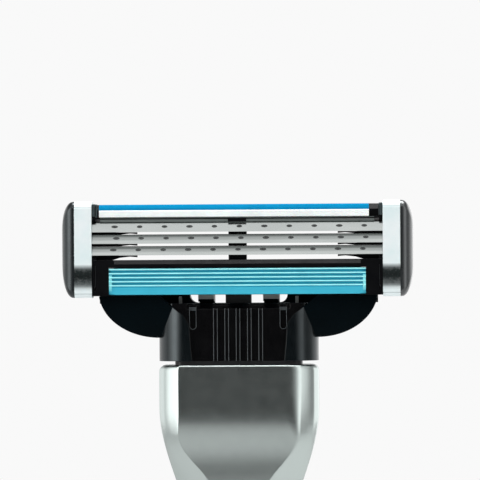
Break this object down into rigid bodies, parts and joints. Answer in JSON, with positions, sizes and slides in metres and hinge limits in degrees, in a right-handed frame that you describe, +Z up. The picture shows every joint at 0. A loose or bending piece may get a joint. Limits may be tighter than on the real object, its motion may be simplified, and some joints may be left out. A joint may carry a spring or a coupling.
{
  "type": "cartridge razor",
  "caption": "Wet-shaving razor: pivoting multi-blade cartridge with elastomer guard and lubricating strip on a plug-on yoke and slim metal handle.",
  "frame": {"origin": "middle of the hand grip, on the handle's centre line", "axes": "+Z up the handle towards the head, -Y the way the shaving face looks, +X along the blades to the viewer's right"},
  "size_m": [0.042, 0.0117, 0.1418],
  "materials": {
    "gloss_black": "moulded, glossy",
    "fin_cyan": "soft satin elastomer",
    "strip_white": "waxy, matt",
    "stripe_blue": "waxy, matt",
    "clip_metal": "satin sheet",
    "support_steel": "rolled",
    "blade_steel": "ground",
    "yoke_black": "moulded, satin",
    "nose_black": "moulded, satin",
    "spring_steel": "drawn wire",
    "ejector_plastic": "moulded",
    "button_black": "moulded, satin",
    "handle_metal": "polished, soft sheen",
    "cover_metal": "satin",
    "grip_rubber": "matt, fine grain",
    "end_cap_black": "moulded, satin"
  },
  "bodies": {
    "handle": {"handle_body": "handle_metal", "nose": "nose_black", "nose_pin": "spring_steel", "plunger_spring": "spring_steel", "button_spring": "spring_steel", "rear_cover": "cover_metal", "front_grip": "grip_rubber", "rear_grip": "grip_rubber", "end_cap": "end_cap_black"},
    "plunger": {"plunger": "nose_black"},
    "button": {"eject_button": "button_black", "ejector": "ejector_plastic"},
    "yoke": {"yoke": "yoke_black"},
    "cartridge": {"cartridge_housing": "gloss_black", "guard_fins": "fin_cyan", "lubricating_strip": "strip_white", "indicator_stripe": "stripe_blue", "clip_left": "clip_metal", "clip_right": "clip_metal"},
    "blade_unit_1": {"blade_1": "blade_steel", "blade_support_1": "support_steel"},
    "blade_unit_2": {"blade_2": "blade_steel", "blade_support_2": "support_steel"},
    "blade_unit_3": {"blade_3": "blade_steel", "blade_support_3": "support_steel"}
  },
  "joints": [
    {"name": "cartridge_eject", "type": "slide", "parent": "handle", "child": "yoke", "axis": [0, 0, 1], "range_m": [0, 0.012]},
    {"name": "cartridge_pivot", "type": "hinge", "parent": "yoke", "child": "cartridge", "pos_m": [0, -0.0037, 0.0742], "axis": [-1, 0, 0], "range_deg": [0, 40], "stiffness_Nm_per_rad": 0.006, "springref_deg": -11.46},
    {"name": "plunger_slide", "type": "slide", "parent": "handle", "child": "plunger", "axis": [0, 0, 1], "range_m": [-0.0018, 0], "deforming": ["plunger_spring"]},
    {"name": "button_slide", "type": "slide", "parent": "handle", "child": "button", "axis": [0, 0, 1], "range_m": [0, 0.003], "stiffness_N_per_m": 150, "springref_m": -0.0006, "deforming": ["button_spring"]},
    {"name": "blade_1_float", "type": "slide", "parent": "cartridge", "child": "blade_unit_1", "axis": [0, 1, 0], "range_m": [0, 0.0003], "stiffness_N_per_m": 300, "springref_m": -0.0001},
    {"name": "blade_2_float", "type": "slide", "parent": "cartridge", "child": "blade_unit_2", "axis": [0, 1, 0], "range_m": [0, 0.0003], "stiffness_N_per_m": 300, "springref_m": -0.0001},
    {"name": "blade_3_float", "type": "slide", "parent": "cartridge", "child": "blade_unit_3", "axis": [0, 1, 0], "range_m": [0, 0.0003], "stiffness_N_per_m": 300, "springref_m": -0.0001}
  ],
  "couplings": [
    {"joint": "plunger_slide", "follows": "cartridge_pivot", "m_per_rad": -0.0024}
  ]
}
